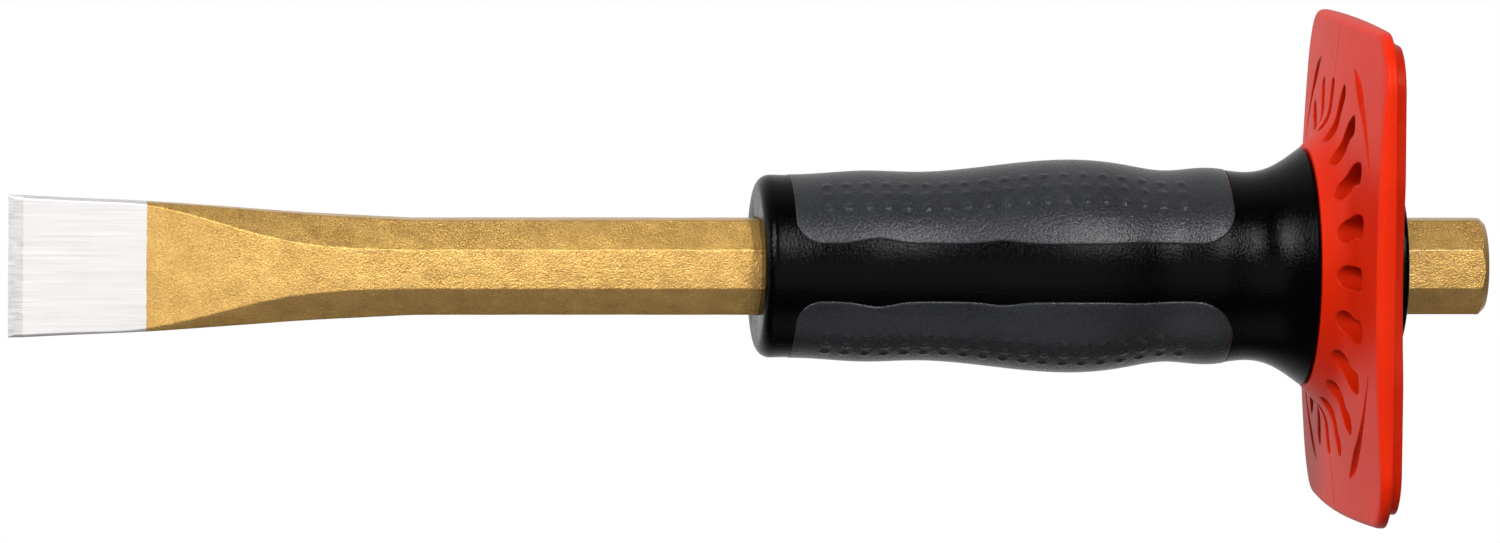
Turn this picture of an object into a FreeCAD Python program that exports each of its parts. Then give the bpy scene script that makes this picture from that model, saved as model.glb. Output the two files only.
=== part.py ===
import FreeCAD, Part
import math
import os
import Sketcher

# Cold chisel with a slide-on hand guard.
#
# Frame: origin on the bar's axis, halfway along it; +X runs from the cutting edge to the
# striking head; +Z is up; the blade's broad faces look along -Y and +Y.
# Stations in the sheet are measured along the axis from the cutting edge.

SIZES = {
    # Bar
    "bar_length": 250.0,
    "across_flats": 16.0,
    "bevel_half_angle": 29.0,
    "edge_land": 0.15,
    "bevel_cut_length": 7.7,
    "head_face_radius": 7.2,
    "head_cone_length": 3.0,
    "blade_length": 68.0,
    # Grip contour: stations and radii of its crests, hollows and the points between them
    "grip_start": 126.0,
    "nose_radius": 2.3,
    "nose_contour": 15.4,
    "ring_station": 133.2,
    "ring_contour": 15.37,
    "crest_station": 144.2,
    "crest_contour": 16.0,
    "dip_station": 153.2,
    "dip_contour": 15.8,
    "climb_station": 165.2,
    "climb_contour": 16.75,
    "belly_station": 181.9,
    "belly_contour": 17.8,
    "fall_station": 188.7,
    "fall_contour": 17.0,
    "waist_station": 195.3,
    "waist_contour": 16.05,
    "knuckle_station": 203.0,
    "knuckle_contour": 16.5,
    "neck_station": 209.0,
    "neck_contour": 15.9,
    "flare_station": 213.8,
    "flare_contour": 16.9,
    "lip_contour": 20.0,
    "lip_radius": 0.7,
    "grip_end": 219.3,
    # Fit of the sleeve on the bar and of the guard on the sleeve
    "bore_play": 0.05,
    "spigot_radius": 11.5,
    "spigot_end": 233.5,
    # Pads
    "pad_start": 131.2,
    "pad_end": 205.6,
    "pad_depth": 1.8,
    "pad_edge_height": 4.8,
    "pad_front_corner": 4.4,
    "upper_rear_corner": 6.0,
    "lower_rear_corner": 7.2,
    "first_wave_station": 144.8,
    "first_wave_height": 0.85,
    "second_wave_station": 165.8,
    "second_wave_height": 0.55,
    "third_wave_station": 189.2,
    "third_wave_height": 0.22,
    "wave_spread": 3.6,
    # Guard shield
    "guard_half": 42.0,
    "side_radius": 1200.0,
    "corner_radius": 10.0,
    "plate_front": 225.1,
    "plate_slope": 6.0,
    "shoulder_radius": 24.9,
    "neck_radius": 20.6,
    "neck_fillet": 7.0,
    "rim_back": 228.3,
    "rim_round": 1.2,
    "lobe_back": 230.1,
    "lobe_inset": 2.3,
    "scallop_radius": 78.0,
    "scallop_depth": 1.8,
    "recess_floor": 227.7,
    "recess_inner": 19.5,
    "recess_outer": 35.0,
    "recess_draft": 1.0,
    # Slots and crescent grooves of the shield
    "slot_count": 20,
    "slot_inner": 22.6,
    "slot_outer": 31.25,
    "slot_lengthening": 2.0,
    "slot_lean": 4.3,
    "slot_bow": 1.1,
    "slot_width": 3.9,
    "slot_narrowing": 0.7,
    "slot_tip_sag": 0.45,
    "crescent_radius": 38.6,
    "crescent_start": 24.0,
    "crescent_sweep": 39.0,
    "crescent_tube": 1.6,
    "crescent_tip": 0.15,
    "crescent_peak": 0.72,
    # Rear collar
    "collar_radius": 14.3,
    "collar_end": 235.2,
    "collar_hole": 9.0,
    "collar_round": 0.8,
}

# Blade sections: station, half width, half thickness and corner cut
BLADE = {
    "edge": (0.0, 12.0, 1.35, 0.4),
    "grind": (12.0, 11.38, 1.85, 0.4),
    "heel": (23.0, 10.87, 2.35, 0.5),
    "throat": (31.0, 10.36, 3.7, 1.65),
    "rise": (40.0, 9.7, 5.8, 3.5),
    "shoulder": (48.0, 9.08, 7.3, 4.6),
    "fade": (57.0, 8.55, 7.92, 4.95),
}
BLADE_FIELDS = ("station", "half_width", "half_thickness", "corner_cut")

# Crests and hollows of the grip contour, in order along the axis
CONTOUR = (
    "ring",
    "crest",
    "dip",
    "climb",
    "belly",
    "fall",
    "waist",
    "knuckle",
    "neck",
    "flare",
)

WAVES = ("first_wave", "second_wave", "third_wave")

# How far cutting shapes run past the solid that they cut, and the same for expressions
OVERRUN = 6.0
BEYOND = str(OVERRUN)

# Largest gap at which two sizes count as equal
TOLERANCE = 0.01

doc = FreeCAD.newDocument("cold_chisel")


def make_sheet():
    """Spreadsheet with one aliased cell for each driving dimension."""
    made = doc.addObject("Spreadsheet::Sheet", "size")
    values = dict(SIZES)
    for section, row in BLADE.items():
        for field, value in zip(BLADE_FIELDS, row):
            values[section + "_" + field] = value
    for line, (alias, value) in enumerate(values.items(), start=1):
        made.set("A" + str(line), alias)
        made.set("B" + str(line), str(value))
        made.setAlias("B" + str(line), alias)
    doc.recompute()
    return made


sheet = make_sheet()


def size(alias):
    """Number in one cell of the sheet."""
    return float(getattr(sheet, alias))


def at_station(alias):
    """Place along X of a station that the sheet measures from the cutting edge."""
    return size(alias) - size("bar_length") / 2


def station(alias):
    """The same place as an expression."""
    return "(size." + alias + " - size.bar_length / 2)"


# ---------------------------------------------------------------- sketch helpers


def origin_plane(body, role):
    """One of the body's own origin planes."""
    for feature in body.Origin.OriginFeatures:
        if feature.Role == role:
            return feature
    raise RuntimeError("no plane " + role)


def new_sketch(body, name, role, offset=None):
    """Sketch on an origin plane of its body, lifted along the normal by an expression."""
    sketch = body.newObject("Sketcher::SketchObject", name)
    sketch.AttachmentSupport = [(origin_plane(body, role), "")]
    sketch.MapMode = "FlatFace"
    if offset:
        sketch.setExpression("AttachmentOffset.Base.z", offset)
    doc.recompute()
    return sketch


def bind(sketch, kind, geometry, vertex, name, expression):
    """Distance of a sketch point from the origin along one axis, tied to an expression."""
    value = float(sketch.evalExpression(expression))
    sketch.addConstraint(Sketcher.Constraint(kind, -1, 1, geometry, vertex, value))
    last = sketch.ConstraintCount - 1
    sketch.renameConstraint(last, name)
    sketch.setExpression("Constraints." + name, expression)


def straight_outline(sketch, corners):
    """Closed outline of straight lines; each corner is a pair of expressions."""
    points = []
    for across, up in corners:
        x = float(sketch.evalExpression(across))
        y = float(sketch.evalExpression(up))
        points.append(FreeCAD.Vector(x, y, 0))
    count = len(points)
    for i in range(count):
        segment = Part.LineSegment(points[i], points[(i + 1) % count])
        sketch.addGeometry(segment, False)
    for i in range(count):
        after = (i + 1) % count
        sketch.addConstraint(Sketcher.Constraint("Coincident", i, 2, after, 1))
    for i, (across, up) in enumerate(corners):
        bind(sketch, "DistanceX", i, 1, "across_" + str(i), across)
        bind(sketch, "DistanceY", i, 1, "up_" + str(i), up)
    doc.recompute()


def square_outline(sketch, half, corner):
    """Rounded square with bowed sides; half width and corner radius are expressions."""
    side = "size.side_radius"
    half_now = float(sketch.evalExpression(half))
    corner_now = float(sketch.evalExpression(corner))
    side_now = float(sketch.evalExpression(side))
    offset = side_now - half_now
    reach = side_now - corner_now
    inner = (math.sqrt(2 * reach * reach - offset * offset) - offset) / 2
    swing = math.atan2(inner, inner + offset)
    axis = FreeCAD.Vector(0, 0, 1)
    for quarter in range(4):
        turn = quarter * math.pi / 2
        cosine = math.cos(turn)
        sine = math.sin(turn)
        centre = FreeCAD.Vector(-offset * cosine, -offset * sine, 0)
        bow = Part.Circle(centre, axis, side_now)
        sketch.addGeometry(Part.ArcOfCircle(bow, turn - swing, turn + swing), False)
        centre = FreeCAD.Vector(inner * (cosine - sine), inner * (sine + cosine), 0)
        bend = Part.Circle(centre, axis, corner_now)
        start = turn + swing
        end = turn + math.pi / 2 - swing
        sketch.addGeometry(Part.ArcOfCircle(bend, start, end), False)
    for i in range(8):
        after = (i + 1) % 8
        sketch.addConstraint(Sketcher.Constraint("Tangent", i, 2, after, 1))
    for i in range(4):
        own_axis = -1 if i % 2 == 0 else -2
        sketch.addConstraint(Sketcher.Constraint("PointOnObject", 2 * i, 3, own_axis))
    for i in range(1, 4):
        sketch.addConstraint(Sketcher.Constraint("Equal", 0, 2 * i))
        sketch.addConstraint(Sketcher.Constraint("Equal", 1, 2 * i + 1))
    sketch.addConstraint(Sketcher.Constraint("Radius", 0, side_now))
    sketch.renameConstraint(sketch.ConstraintCount - 1, "side")
    sketch.setExpression("Constraints.side", side)
    sketch.addConstraint(Sketcher.Constraint("Radius", 1, corner_now))
    sketch.renameConstraint(sketch.ConstraintCount - 1, "corner")
    sketch.setExpression("Constraints.corner", corner)
    bind(sketch, "DistanceX", 0, 3, "right", half + " - " + side)
    bind(sketch, "DistanceY", 2, 3, "top", half + " - " + side)
    doc.recompute()


def pad(body, name, sketch, length):
    """Pad along the sketch's normal; length is an expression."""
    made = body.newObject("PartDesign::Pad", name)
    made.Profile = sketch
    made.setExpression("Length", length)
    doc.recompute()
    return made


def revolve_cut(body, name, sketch):
    """Groove all the way round the bar's axis."""
    before = body.Shape.Volume
    made = body.newObject("PartDesign::Groove", name)
    made.Profile = sketch
    made.ReferenceAxis = (sketch, ["H_Axis"])
    made.Angle = 360.0
    doc.recompute()
    if body.Shape.Volume >= before:
        raise RuntimeError(name + " cuts nothing")
    return made


def pocket_both_ways(body, name, sketch, length):
    """Pocket through the body, to both sides of the sketch's plane."""
    before = body.Shape.Volume
    made = body.newObject("PartDesign::Pocket", name)
    made.Profile = sketch
    made.Midplane = True
    made.setExpression("Length", length)
    doc.recompute()
    if body.Shape.Volume >= before:
        raise RuntimeError(name + " cuts nothing")
    return made


def edges_where(shape, test):
    """Names of the edges that pass a test."""
    names = []
    for number, edge in enumerate(shape.Edges, start=1):
        if test(edge):
            names.append("Edge" + str(number))
    return names


def fillet(body, name, base, test, radius):
    """Fillet on the chosen edges of the last feature; radius is an expression."""
    names = edges_where(base.Shape, test)
    if not names:
        raise RuntimeError(name + " finds no edge")
    made = body.newObject("PartDesign::Fillet", name)
    made.Base = (base, names)
    made.setExpression("Radius", radius)
    doc.recompute()
    return made


# ---------------------------------------------------------------- chisel bar


def octagon_section(sketch, half_width, half_thickness, corner_cut):
    """Eight-sided section: width along Z, thickness along Y, corners cut at 45 degrees."""
    flat_half = "(" + half_width + " - " + corner_cut + ")"
    side_half = "(" + half_thickness + " - " + corner_cut + ")"
    straight_outline(
        sketch,
        [
            (half_thickness, "-" + flat_half),
            (half_thickness, flat_half),
            (side_half, half_width),
            ("-" + side_half, half_width),
            ("-" + half_thickness, flat_half),
            ("-" + half_thickness, "-" + flat_half),
            ("-" + side_half, "-" + half_width),
            (side_half, "-" + half_width),
        ],
    )


def make_bar():
    """One forging: octagonal shank, flared blade, ground cutting bevels, coned head."""
    body = doc.addObject("PartDesign::Body", "chisel_bar")
    body.Label = "chisel_bar"

    half_flats = "size.across_flats / 2"
    octagon_cut = "size.across_flats / 2 * (1 - tan(22.5))"
    shank = new_sketch(body, "shank_section", "YZ_Plane", station("blade_length"))
    octagon_section(shank, half_flats, half_flats, "(" + octagon_cut + ")")
    pad(body, "shank", shank, "size.bar_length - size.blade_length")

    sections = []
    for name in BLADE:
        section = new_sketch(body, name + "_section", "YZ_Plane", station(name + "_station"))
        octagon_section(
            section,
            "size." + name + "_half_width",
            "size." + name + "_half_thickness",
            "size." + name + "_corner_cut",
        )
        sections.append(section)
    root = new_sketch(body, "root_section", "YZ_Plane", station("blade_length"))
    octagon_section(root, half_flats, half_flats, "(" + octagon_cut + ")")
    blade = body.newObject("PartDesign::AdditiveLoft", "blade")
    blade.Profile = sections[0]
    blade.Sections = sections[1:] + [root]
    doc.recompute()

    tip = "-size.bar_length / 2"
    run = "size.bevel_cut_length"
    rise = "(size.edge_land + " + run + " * tan(size.bevel_half_angle))"
    for side, sign in (("near", "-"), ("far", "")):
        wedge = new_sketch(body, side + "_bevel_outline", "XY_Plane")
        straight_outline(
            wedge,
            [
                (tip, sign + "size.edge_land"),
                (tip + " + " + run, sign + rise),
                (tip + " - " + BEYOND, sign + rise),
                (tip + " - " + BEYOND, sign + "size.edge_land"),
            ],
        )
        across = "2 * size.edge_half_width + " + BEYOND
        pocket_both_ways(body, side + "_bevel", wedge, across)

    cone = new_sketch(body, "head_cone_outline", "XZ_Plane")
    end = "size.bar_length / 2"
    length = "size.head_cone_length"
    straight_outline(
        cone,
        [
            (end, "size.head_face_radius"),
            (end, "size.head_face_radius + " + length),
            (end + " - " + length, "size.head_face_radius + " + length),
        ],
    )
    revolve_cut(body, "head_cone", cone)
    return body


# ---------------------------------------------------------------- grip


def contour_curve(inset):
    """Smooth curve along the grip's surface from its nose to its lip, set in by inset."""
    nose = at_station("grip_start") + size("nose_radius")
    points = [FreeCAD.Vector(nose, 0, size("nose_contour") - inset)]
    for name in CONTOUR:
        along = at_station(name + "_station")
        points.append(FreeCAD.Vector(along, 0, size(name + "_contour") - inset))
    lip = at_station("grip_end") - size("lip_radius")
    points.append(FreeCAD.Vector(lip, 0, size("lip_contour") - inset))
    curve = Part.BSplineCurve()
    curve.interpolate(points)
    return curve.toShape(), points[0], points[-1]


def turned(edges):
    """Solid turned about the bar's axis from a closed outline."""
    face = Part.Face(Part.Wire(edges))
    return face.revolve(FreeCAD.Vector(0, 0, 0), FreeCAD.Vector(1, 0, 0), 360)


def point(along, radius):
    """Point of a turned outline."""
    return FreeCAD.Vector(along, 0, radius)


def chain(points):
    """Straight edges from each point to the next."""
    return [Part.LineSegment(a, b).toShape() for a, b in zip(points, points[1:])]


def quarter_arc(start, end, middle):
    """Quarter circle from start to end about the middle point."""
    bisector = (start - middle + end - middle).normalize()
    radius = (start - middle).Length
    return Part.Arc(start, middle + bisector * radius, end).toShape()


def make_sleeve_blank():
    """Turned outside of the sleeve: nose, waves, flare and the tube behind the flare."""
    curve, nose, lip = contour_curve(0)
    front = at_station("grip_start")
    back = at_station("grip_end")
    face_radius = nose.z - size("nose_radius")
    lip_low = point(back, lip.z - size("lip_radius"))
    nose_arc = quarter_arc(point(front, face_radius), nose, point(nose.x, face_radius))
    lip_arc = quarter_arc(lip, lip_low, point(lip.x, lip_low.z))
    tube = size("spigot_radius")
    tube_end = at_station("spigot_end")
    edges = chain([point(front, 0), point(front, face_radius)])
    edges += [nose_arc, curve, lip_arc]
    edges += chain([lip_low, point(back, tube), point(tube_end, tube)])
    edges += chain([point(tube_end, tube), point(tube_end, 0), point(front, 0)])
    blank = doc.addObject("Part::Feature", "sleeve_blank")
    blank.Shape = turned(edges)
    return blank


def make_pad_core():
    """Turned inside limit of both pads: the grip contour set in by the pads' depth."""
    curve, nose, lip = contour_curve(size("pad_depth"))
    edges = chain([lip, point(lip.x, 0), point(nose.x, 0), nose])
    core = doc.addObject("Part::Feature", "pad_core")
    core.Shape = turned(edges + [curve])
    return core


def pad_edge_height(along):
    """Height of a pad's long edge, which three shallow waves lift."""
    height = size("pad_edge_height")
    for wave in WAVES:
        offset = (along - at_station(wave + "_station")) / size("wave_spread")
        height += size(wave + "_height") * math.exp(-offset * offset)
    return height


def pad_block(name, sign, rear_corner):
    """Block across the grip whose side outline is a pad's; sign is 1 above, -1 below."""
    front = at_station("pad_start")
    back = at_station("pad_end")
    nose = size("pad_front_corner")
    tail = size(rear_corner)
    reach = size("lip_contour") + OVERRUN
    steps = 36
    wave = []
    for i in range(steps + 1):
        along = front + nose + (back - tail - front - nose) * i / steps
        wave.append(FreeCAD.Vector(along, 0, sign * pad_edge_height(along)))
    curve = Part.BSplineCurve()
    curve.interpolate(wave)
    first = wave[0]
    last = wave[-1]
    front_low = FreeCAD.Vector(front, 0, first.z + sign * nose)
    back_low = FreeCAD.Vector(back, 0, last.z + sign * tail)
    front_high = FreeCAD.Vector(front, 0, sign * reach)
    back_high = FreeCAD.Vector(back, 0, sign * reach)
    front_centre = FreeCAD.Vector(first.x, 0, front_low.z)
    back_centre = FreeCAD.Vector(last.x, 0, back_low.z)
    edges = [curve.toShape()]
    edges.append(quarter_arc(last, back_low, back_centre))
    edges += chain([back_low, back_high, front_high, front_low])
    edges.append(quarter_arc(front_low, first, front_centre))
    face = Part.Face(Part.Wire(edges))
    face.translate(FreeCAD.Vector(0, -reach, 0))
    block = doc.addObject("Part::Feature", name)
    block.Shape = face.extrude(FreeCAD.Vector(0, 2 * reach, 0))
    return block


def boolean(kind, name, base, tool):
    """Part boolean of two objects."""
    made = doc.addObject("Part::" + kind, name)
    made.Base = base
    made.Tool = tool
    doc.recompute()
    return made


def make_pad(name, sign, rear_corner, blank, core):
    """Soft inlay, which is the grip's outer layer inside an outline, and its bed's cutter."""
    block = pad_block(name + "_block", sign, rear_corner)
    bed = boolean("Cut", name + "_bed", block, core)
    made = boolean("Common", name, blank, bed)
    made.Label = name
    return made, bed


def octagon_bore():
    """Octagonal cutter for the sleeve's bore, a running fit on the bar."""
    bore = doc.addObject("Part::Prism", "bore")
    bore.Polygon = 8
    bore.setExpression("Circumradius", "(size.across_flats / 2 + size.bore_play) / cos(22.5)")
    bore.setExpression("Height", "size.bar_length")
    lie = FreeCAD.Rotation(FreeCAD.Vector(0, 1, 0), 90)
    spin = FreeCAD.Rotation(FreeCAD.Vector(0, 0, 1), 22.5)
    bore.Placement = FreeCAD.Placement(FreeCAD.Vector(0, 0, 0), lie.multiply(spin))
    bore.setExpression("Placement.Base.x", "-size.bar_length / 4")
    doc.recompute()
    return bore


def make_sleeve(blank, beds):
    """Hard core of the grip: the blank less the bore and the beds of the pads."""
    made = boolean("Cut", "bored_sleeve", blank, octagon_bore())
    for bed in beds:
        made = boolean("Cut", "sleeve_less_" + bed.Name, made, bed)
    made.Label = "grip_sleeve"
    return made


# ---------------------------------------------------------------- guard


def make_shield_plate():
    """Guard plate before its slots: dished front with a neck, rim, lobed back layer."""
    body = doc.addObject("PartDesign::Body", "shield_plate")
    front = "size.grip_end"

    outline = new_sketch(body, "rim_outline", "YZ_Plane", station("grip_end"))
    square_outline(outline, "size.guard_half", "size.corner_radius")
    pad(body, "rim_block", outline, "size.rim_back - " + front)

    # Everything in front of the neck cone and of the plate's sloping face is cut away.
    slope = "tan(size.plate_slope)"
    to_shoulder = "(size.guard_half - size.shoulder_radius)"
    rim = station("plate_front")
    outside = "size.guard_half + size.shoulder_radius"
    before_neck = station("grip_end") + " - " + BEYOND
    dish = new_sketch(body, "dish_outline", "XZ_Plane")
    straight_outline(
        dish,
        [
            (before_neck, "size.neck_radius"),
            (station("grip_end"), "size.neck_radius"),
            (rim + " - " + to_shoulder + " * " + slope, "size.shoulder_radius"),
            (rim + " + size.shoulder_radius * " + slope, outside),
            (before_neck, outside),
        ],
    )
    dish_cut = revolve_cut(body, "dish", dish)

    def is_shoulder(edge):
        return abs(edge.BoundBox.ZLength / 2 - size("shoulder_radius")) < TOLERANCE

    neck = fillet(body, "neck_blend", dish_cut, is_shoulder, "size.neck_fillet")

    def is_front_rim(edge):
        box = edge.BoundBox
        outer = max(abs(box.ZMin), abs(box.ZMax), abs(box.YMin), abs(box.YMax))
        forward = box.XMax < at_station("rim_back") - size("rim_round")
        return forward and outer > size("guard_half") - size("corner_radius")

    fillet(body, "rim_edge", neck, is_front_rim, "size.rim_round")

    lobes = new_sketch(body, "lobe_outline", "YZ_Plane", station("rim_back"))
    lobe_half = "size.guard_half - size.lobe_inset"
    square_outline(lobes, lobe_half, "size.corner_radius - size.lobe_inset")
    pad(body, "lobe_layer", lobes, "size.lobe_back - size.rim_back")
    return body


def make_scallops():
    """Four wide cutters that pinch the back layer between its corner lobes."""
    cutters = []
    thickness = "(size.lobe_back - size.rim_back)"
    reach = "(size.guard_half - size.lobe_inset - size.scallop_depth + size.scallop_radius)"
    for number, (across, up) in enumerate(((1, 0), (0, 1), (-1, 0), (0, -1)), start=1):
        cutter = doc.addObject("Part::Cylinder", "scallop_" + str(number))
        cutter.setExpression("Radius", "size.scallop_radius")
        cutter.setExpression("Height", thickness + " * 2")
        lie = FreeCAD.Rotation(FreeCAD.Vector(0, 1, 0), 90)
        cutter.Placement = FreeCAD.Placement(FreeCAD.Vector(0, 0, 0), lie)
        cutter.setExpression("Placement.Base.x", station("rim_back"))
        cutter.setExpression("Placement.Base.y", str(across) + " * " + reach)
        cutter.setExpression("Placement.Base.z", str(up) + " * " + reach)
        cutters.append(cutter)
    return cutters


def make_recess():
    """Turned cutter for the dished ring behind the slots."""
    ring = doc.addObject("Part::Feature", "recess_cutter")
    floor = at_station("recess_floor")
    back = at_station("lobe_back") + OVERRUN
    inner = size("recess_inner")
    outer = size("recess_outer")
    draft = size("recess_draft")
    outline = [
        point(floor, inner + draft),
        point(floor, outer - draft),
        point(back, outer + draft),
        point(back, inner - draft),
        point(floor, inner + draft),
    ]
    ring.Shape = turned(chain(outline))
    return ring


def make_tube_hole():
    """Cutter for the hole that the sleeve's tube passes through."""
    hole = doc.addObject("Part::Cylinder", "tube_hole")
    hole.setExpression("Radius", "size.spigot_radius")
    hole.setExpression("Height", "size.collar_end - size.grip_end + 2 * " + BEYOND)
    lie = FreeCAD.Rotation(FreeCAD.Vector(0, 1, 0), 90)
    hole.Placement = FreeCAD.Placement(FreeCAD.Vector(0, 0, 0), lie)
    hole.setExpression("Placement.Base.x", station("grip_end") + " - " + BEYOND)
    return hole


def polar(radius, angle):
    """Point of the guard's plane; the angle runs from -Y towards +Z, in degrees."""
    turn = math.radians(angle)
    return FreeCAD.Vector(0, -radius * math.cos(turn), radius * math.sin(turn))


def slot_face(angle):
    """Outline of one slot: straight on the four axes, bowed towards the Z axis between."""
    twice = math.sin(math.radians(2 * angle))
    lean = size("slot_lean") * twice
    bow = size("slot_bow") * twice
    width = size("slot_width") - size("slot_narrowing") * math.sin(math.radians(angle)) ** 2
    half = width / 2
    inner = polar(size("slot_inner") + half, angle)
    outer = polar(size("slot_outer") + size("slot_lengthening") * abs(twice), angle - lean)
    chord = outer - inner
    along = FreeCAD.Vector(chord).normalize()
    across = FreeCAD.Vector(1, 0, 0).cross(along)
    tip_sag = half * size("slot_tip_sag")
    edges = []
    if abs(bow) < TOLERANCE:
        swing = 0
    else:
        swing = 2 * math.atan(2 * bow / chord.Length)
    # Directions of the centre line at its two ends, turned away from the chord by the bow.
    start_along = along * math.cos(swing) - across * math.sin(swing)
    end_along = along * math.cos(swing) + across * math.sin(swing)
    start_across = FreeCAD.Vector(1, 0, 0).cross(start_along)
    end_across = FreeCAD.Vector(1, 0, 0).cross(end_along)
    middle = inner + chord * 0.5 - across * bow
    low_start = inner - start_across * half
    low_end = outer - end_across * half
    high_start = inner + start_across * half
    high_end = outer + end_across * half
    if swing:
        low = Part.Arc(low_start, middle - across * half, low_end)
        high = Part.Arc(high_end, middle + across * half, high_start)
    else:
        low = Part.LineSegment(low_start, low_end)
        high = Part.LineSegment(high_end, high_start)
    edges.append(low.toShape())
    edges.append(Part.Arc(low_end, outer + end_along * tip_sag, high_end).toShape())
    edges.append(high.toShape())
    edges.append(Part.Arc(high_start, inner - start_along * half, low_start).toShape())
    return Part.Face(Part.Wire(edges))


def make_slot_cutters():
    """Cutters of all slots, evenly spaced at their inner ends."""
    cutters = []
    depth = size("collar_end") - size("grip_end")
    count = int(size("slot_count"))
    for number in range(count):
        face = slot_face(360.0 * number / count)
        face.translate(FreeCAD.Vector(at_station("grip_end"), 0, 0))
        cutters.append(face.extrude(FreeCAD.Vector(depth, 0, 0)))
    made = doc.addObject("Part::Feature", "slot_cutters")
    made.Shape = Part.makeCompound(cutters)
    return made


def crescent_half_width(share):
    """Half width of a crescent from its fine tail (share 0) over its belly to its tip (1)."""
    fine = size("crescent_tip")
    belly = size("crescent_tube") - fine
    peak = size("crescent_peak")
    if share < peak:
        return fine + belly * (share / peak) ** 1.3
    return fine + belly * math.cos(math.pi / 2 * (share - peak) / (1 - peak))


def crescent_cutter(tail, sweep):
    """Teardrop cutter along an arc from the angle of its tail through a signed sweep."""
    slope = math.tan(math.radians(size("plate_slope")))
    radius = size("crescent_radius")
    surface = at_station("plate_front") - (size("guard_half") - radius) * slope
    steps = 10
    wires = []
    for i in range(steps + 1):
        share = i / steps
        angle = tail + sweep * share
        turn = math.radians(angle)
        tangent = FreeCAD.Vector(0, math.sin(turn), math.cos(turn))
        centre = polar(radius, angle) + FreeCAD.Vector(surface, 0, 0)
        wires.append(Part.Wire(Part.makeCircle(crescent_half_width(share), centre, tangent)))
    return Part.makeLoft(wires, True)


def make_crescent_cutters():
    """Cutters of the four crescent grooves; their deep ends point to the Z axis."""
    start = size("crescent_start")
    sweep = size("crescent_sweep")
    cutters = []
    for half_turn in (0, 180):
        cutters.append(crescent_cutter(half_turn + start, sweep))
        cutters.append(crescent_cutter(half_turn - start, -sweep))
    made = doc.addObject("Part::Feature", "crescent_cutters")
    made.Shape = Part.makeCompound(cutters)
    return made


def make_shield():
    """Guard shield: the plate less its scallops, recess, hole, slots and crescents."""
    made = make_shield_plate()
    cutters = make_scallops()
    cutters += [make_recess(), make_tube_hole(), make_slot_cutters(), make_crescent_cutters()]
    for cutter in cutters:
        before = made.Shape.Volume
        made = boolean("Cut", "shield_less_" + cutter.Name, made, cutter)
        if made.Shape.Volume >= before:
            raise RuntimeError(cutter.Name + " cuts nothing")
    made.Label = "guard_shield"
    return made


def make_collar():
    """Ring pressed on the tube's end behind the shield, with a clear hole for the bar."""
    body = doc.addObject("PartDesign::Body", "rear_collar")
    body.Label = "rear_collar"
    outline = new_sketch(body, "collar_outline", "XZ_Plane")
    straight_outline(
        outline,
        [
            (station("lobe_back"), "size.spigot_radius"),
            (station("lobe_back"), "size.collar_radius"),
            (station("collar_end"), "size.collar_radius"),
            (station("collar_end"), "size.collar_hole"),
            (station("spigot_end"), "size.collar_hole"),
            (station("spigot_end"), "size.spigot_radius"),
        ],
    )
    ring = body.newObject("PartDesign::Revolution", "collar_ring")
    ring.Profile = outline
    ring.ReferenceAxis = (outline, ["H_Axis"])
    ring.Angle = 360.0
    doc.recompute()

    def is_outer_back(edge):
        box = edge.BoundBox
        wide = abs(box.ZLength / 2 - size("collar_radius")) < TOLERANCE
        return wide and box.XMin > at_station("collar_end") - TOLERANCE

    fillet(body, "collar_edge", ring, is_outer_back, "size.collar_round")
    return body


# ---------------------------------------------------------------- build and export


def check(sub_parts):
    """Stop if any object failed or a sub-part's shape isn't sound."""
    for thing in doc.Objects:
        if "Invalid" in thing.State or "Error" in thing.State:
            raise RuntimeError(thing.Name + " failed: " + str(thing.State))
    for sub_part in sub_parts:
        shape = sub_part.Shape
        if shape.isNull() or not shape.isValid() or len(shape.Solids) != 1:
            raise RuntimeError(sub_part.Label + " isn't one sound solid")


def export(sub_parts):
    """One STEP file for each sub-part."""
    os.makedirs("parts", exist_ok=True)
    for sub_part in sub_parts:
        sub_part.Shape.exportStep(os.path.join("parts", sub_part.Label + ".step"))
        box = sub_part.Shape.BoundBox
        volume = sub_part.Shape.Volume / 1000
        print(sub_part.Label, len(sub_part.Shape.Solids), "solid,", round(volume, 2), "cm3,", box)


def main():
    bar = make_bar()
    blank = make_sleeve_blank()
    core = make_pad_core()
    upper, upper_bed = make_pad("grip_pad_upper", 1, "upper_rear_corner", blank, core)
    lower, lower_bed = make_pad("grip_pad_lower", -1, "lower_rear_corner", blank, core)
    sleeve = make_sleeve(blank, [upper_bed, lower_bed])
    shield = make_shield()
    collar = make_collar()
    sub_parts = [bar, sleeve, upper, lower, shield, collar]
    doc.recompute()
    check(sub_parts)
    export(sub_parts)


main()
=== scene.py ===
import cmath
import math

import bmesh
import bpy
import numpy as np
from mathutils import Matrix, Vector, geometry, noise


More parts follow.
